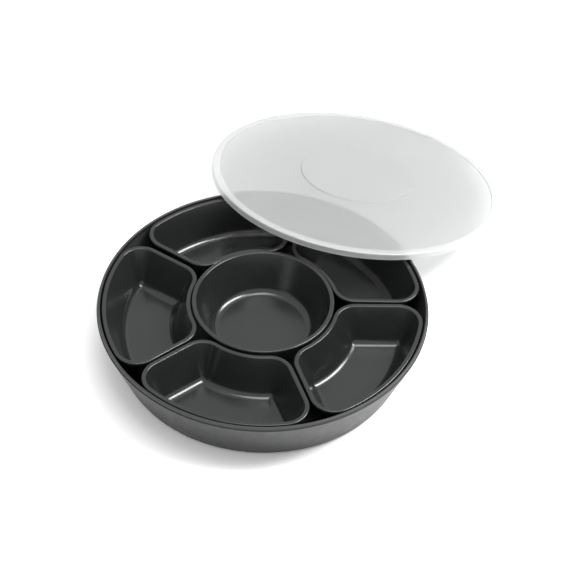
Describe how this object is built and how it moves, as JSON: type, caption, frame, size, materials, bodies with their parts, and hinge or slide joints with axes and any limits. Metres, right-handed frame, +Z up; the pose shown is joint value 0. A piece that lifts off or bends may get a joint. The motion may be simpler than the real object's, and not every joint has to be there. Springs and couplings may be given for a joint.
{
  "type": "chip and dip server",
  "caption": "Round serving tray with removable wedge dishes around a round dip bowl, and a translucent lid leaning on its rim.",
  "frame": {"origin": "centre of the tray's ring foot, on the surface that it stands on", "axes": "+Z up along the tray's axis; -Y towards the side that faces the viewer; the lid leans on the rim towards +X +Y"},
  "size_m": [0.3857, 0.4833, 0.0748],
  "materials": {
    "tray_charcoal_pp": "satin moulded",
    "dish_charcoal_pp": "satin to glossy moulded",
    "bowl_charcoal_pp": "satin to glossy moulded",
    "lid_frosted_pp": "frosted translucent"
  },
  "bodies": {
    "tray": {"tray": "tray_charcoal_pp"},
    "dip_bowl": {"dip_bowl": "bowl_charcoal_pp"},
    "dish_front_right": {"dish_front_right": "dish_charcoal_pp"},
    "dish_front": {"dish_front": "dish_charcoal_pp"},
    "dish_left": {"dish_left": "dish_charcoal_pp"},
    "dish_back_left": {"dish_back_left": "dish_charcoal_pp"},
    "dish_back_right": {"dish_back_right": "dish_charcoal_pp"},
    "lid": {"lid": "lid_frosted_pp"}
  },
  "joints": [
    {"name": "lid_lift", "type": "slide", "parent": "tray", "child": "lid", "axis": [0, 0, 1], "range_m": [0, 0.16]},
    {"name": "dip_bowl_lift", "type": "slide", "parent": "tray", "child": "dip_bowl", "axis": [0, 0, 1], "range_m": [0, 0.064]},
    {"name": "dish_front_right_lift", "type": "slide", "parent": "tray", "child": "dish_front_right", "axis": [0, 0, 1], "range_m": [0, 0.06]},
    {"name": "dish_front_lift", "type": "slide", "parent": "tray", "child": "dish_front", "axis": [0, 0, 1], "range_m": [0, 0.06]},
    {"name": "dish_left_lift", "type": "slide", "parent": "tray", "child": "dish_left", "axis": [0, 0, 1], "range_m": [0, 0.06]},
    {"name": "dish_back_left_lift", "type": "slide", "parent": "tray", "child": "dish_back_left", "axis": [0, 0, 1], "range_m": [0, 0.064]},
    {"name": "dish_back_right_lift", "type": "slide", "parent": "tray", "child": "dish_back_right", "axis": [0, 0, 1], "range_m": [0, 0.064]}
  ],
  "couplings": [
    {"joint": "dip_bowl_lift", "follows": "lid_lift", "ratio": 0.4},
    {"joint": "dish_back_left_lift", "follows": "lid_lift", "ratio": 0.4},
    {"joint": "dish_back_right_lift", "follows": "lid_lift", "ratio": 0.4}
  ]
}
